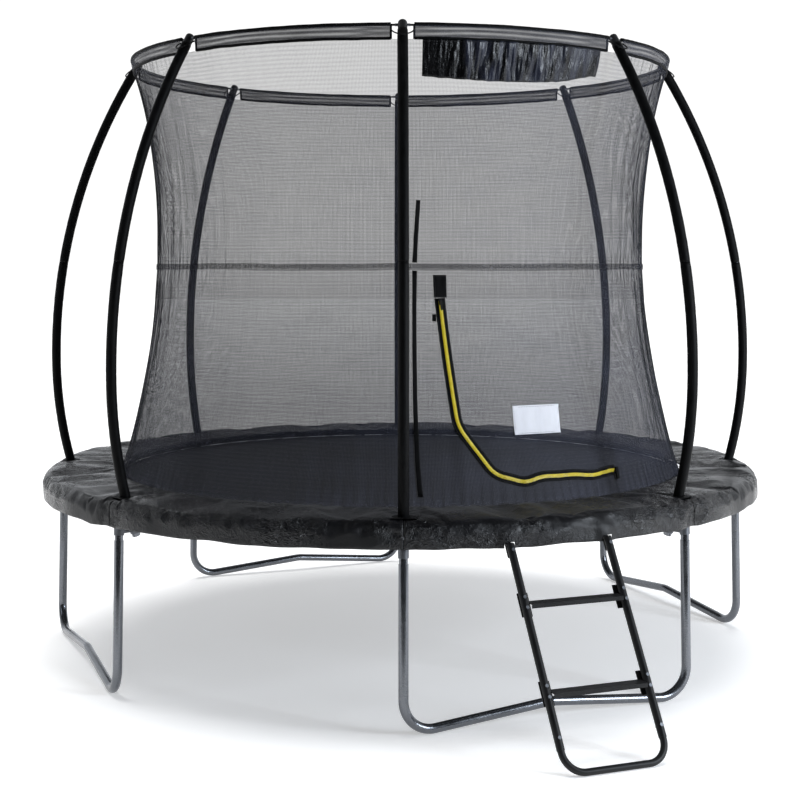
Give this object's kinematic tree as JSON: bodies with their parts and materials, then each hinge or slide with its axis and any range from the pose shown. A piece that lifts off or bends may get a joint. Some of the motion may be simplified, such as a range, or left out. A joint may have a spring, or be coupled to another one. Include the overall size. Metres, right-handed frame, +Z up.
{
  "type": "backyard trampoline",
  "caption": "Round spring trampoline on W-shaped legs, with a padded spring cover, an outward-bowed pole enclosure, a waisted safety net with a zip door, and a hook-on ladder.",
  "frame": {"origin": "on the ground, under the middle of the jumping mat", "axes": "+Z up, out of the mat; the ladder and the zip door are on the -Y side, and one enclosure pole stands at -Y"},
  "size_m": [3.102, 3.4835, 2.527],
  "materials": {
    "banner": "crinkled coated nylon, semi-gloss",
    "blank_label": "plain woven label",
    "clamp_bolts": "black oxide",
    "door_clips": "moulded side-release clip",
    "frame_rails": "hot-dip galvanised, soft sheen",
    "frame_screws": "zinc plated",
    "jump_mat": "woven polypropylene, slight sheen",
    "ladder_bolts": "zinc plated",
    "ladder_hooks": "black powder coat, semi-gloss",
    "ladder_loop": "black powder coat, semi-gloss",
    "ladder_step": "black powder coat, semi-gloss",
    "ladder_tube": "black powder coat, semi-gloss",
    "leg_bases": "hot-dip galvanised, soft sheen",
    "leg_posts": "hot-dip galvanised, soft sheen",
    "mat_webbing": "folded webbing",
    "net_belt": "gathered webbing belt",
    "net_hem": "bound edge",
    "net_mesh": "fine open polyester mesh",
    "net_strap": "thin webbing",
    "net_tunnels": "mesh sleeve with bound edges",
    "pad_cover": "glossy PVC-coated fabric over foam",
    "pad_straps": "elastic strap",
    "pole_caps": "moulded, satin",
    "pole_clamps": "zinc plated",
    "pole_lower_tubes": "galvanised",
    "pole_sleeve": "black woven sleeve over thin foam, slight sheen",
    "pole_ties": "covered elastic",
    "pole_upper_tubes": "galvanised",
    "ring_rods": "black glass-fibre rod",
    "rod_ferrules": "zinc plated",
    "snap_buttons": "zinc plated",
    "springs": "zinc plated spring wire",
    "t_joints": "hot-dip galvanised, soft sheen",
    "v_rings": "zinc plated wire",
    "zip_pull": "black",
    "zip_slider": "black",
    "zip_tape": "woven zip tape",
    "zip_teeth": "yellow coil zip",
    "zip_top_patch": "stitched patch"
  },
  "bodies": {
    "frame": {"banner": "banner", "blank_label": "blank_label", "clamp_bolts": "clamp_bolts", "door_clips": "door_clips", "frame_rails": "frame_rails", "frame_screws": "frame_screws", "leg_base_1": "leg_bases", "leg_base_2": "leg_bases", "leg_base_3": "leg_bases", "leg_base_4": "leg_bases", "leg_posts": "leg_posts", "lower_pole_sleeves": "pole_sleeve", "net_belt": "net_belt", "net_hem": "net_hem", "net_panel_1": "net_mesh", "net_panel_2": "net_mesh", "net_panel_3": "net_mesh", "net_panel_4": "net_mesh", "net_panel_5": "net_mesh", "net_panel_6": "net_mesh", "net_panel_7": "net_mesh", "net_panel_8": "net_mesh", "net_strap": "net_strap", "net_tunnels": "net_tunnels", "pad_segment_1": "pad_cover", "pad_segment_2": "pad_cover", "pad_segment_3": "pad_cover", "pad_segment_4": "pad_cover", "pad_segment_5": "pad_cover", "pad_segment_6": "pad_cover", "pad_segment_7": "pad_cover", "pad_segment_8": "pad_cover", "pad_straps": "pad_straps", "pole_caps": "pole_caps", "pole_clamps": "pole_clamps", "pole_lower_tubes": "pole_lower_tubes", "pole_ties": "pole_ties", "pole_upper_tubes": "pole_upper_tubes", "ring_rods": "ring_rods", "rod_ferrules": "rod_ferrules", "snap_buttons": "snap_buttons", "springs": "springs", "t_joints": "t_joints", "upper_pole_sleeves": "pole_sleeve", "zip_tape": "zip_tape", "zip_teeth": "zip_teeth", "zip_top_patch": "zip_top_patch"},
    "mat": {"jump_mat": "jump_mat", "mat_webbing": "mat_webbing", "v_rings": "v_rings"},
    "ladder": {"ladder_rail_left": "ladder_tube", "ladder_rail_right": "ladder_tube", "ladder_loop": "ladder_loop", "upper_step": "ladder_step", "lower_step": "ladder_step", "ladder_hooks": "ladder_hooks", "ladder_bolts": "ladder_bolts"},
    "zip_slider": {"zip_slider": "zip_slider"},
    "zip_pull": {"zip_pull": "zip_pull"}
  },
  "joints": [
    {"name": "mat_bounce", "type": "slide", "parent": "frame", "child": "mat", "axis": [0, 0, -1], "range_m": [0, 0.25], "stiffness_N_per_m": 3000, "springref_m": -0.03, "deforming": ["springs"]},
    {"name": "ladder_swing", "type": "hinge", "parent": "frame", "child": "ladder", "pos_m": [0.5232, -1.39936, 0.715], "axis": [-0.9367, -0.3502, 0], "range_deg": [0, 30]},
    {"name": "zip_run", "type": "hinge", "parent": "frame", "child": "zip_slider", "pos_m": [1.43982, -4.27646, 1.90559], "axis": [-0.9214, -0.3816, -0.0738], "range_deg": [0, 6.87]},
    {"name": "pull_swing", "type": "hinge", "parent": "zip_slider", "child": "zip_pull", "pos_m": [0.14319, -1.07401, 1.50996], "axis": [-0.9862, -0.1316, -0.1005], "range_deg": [0, 110]}
  ]
}
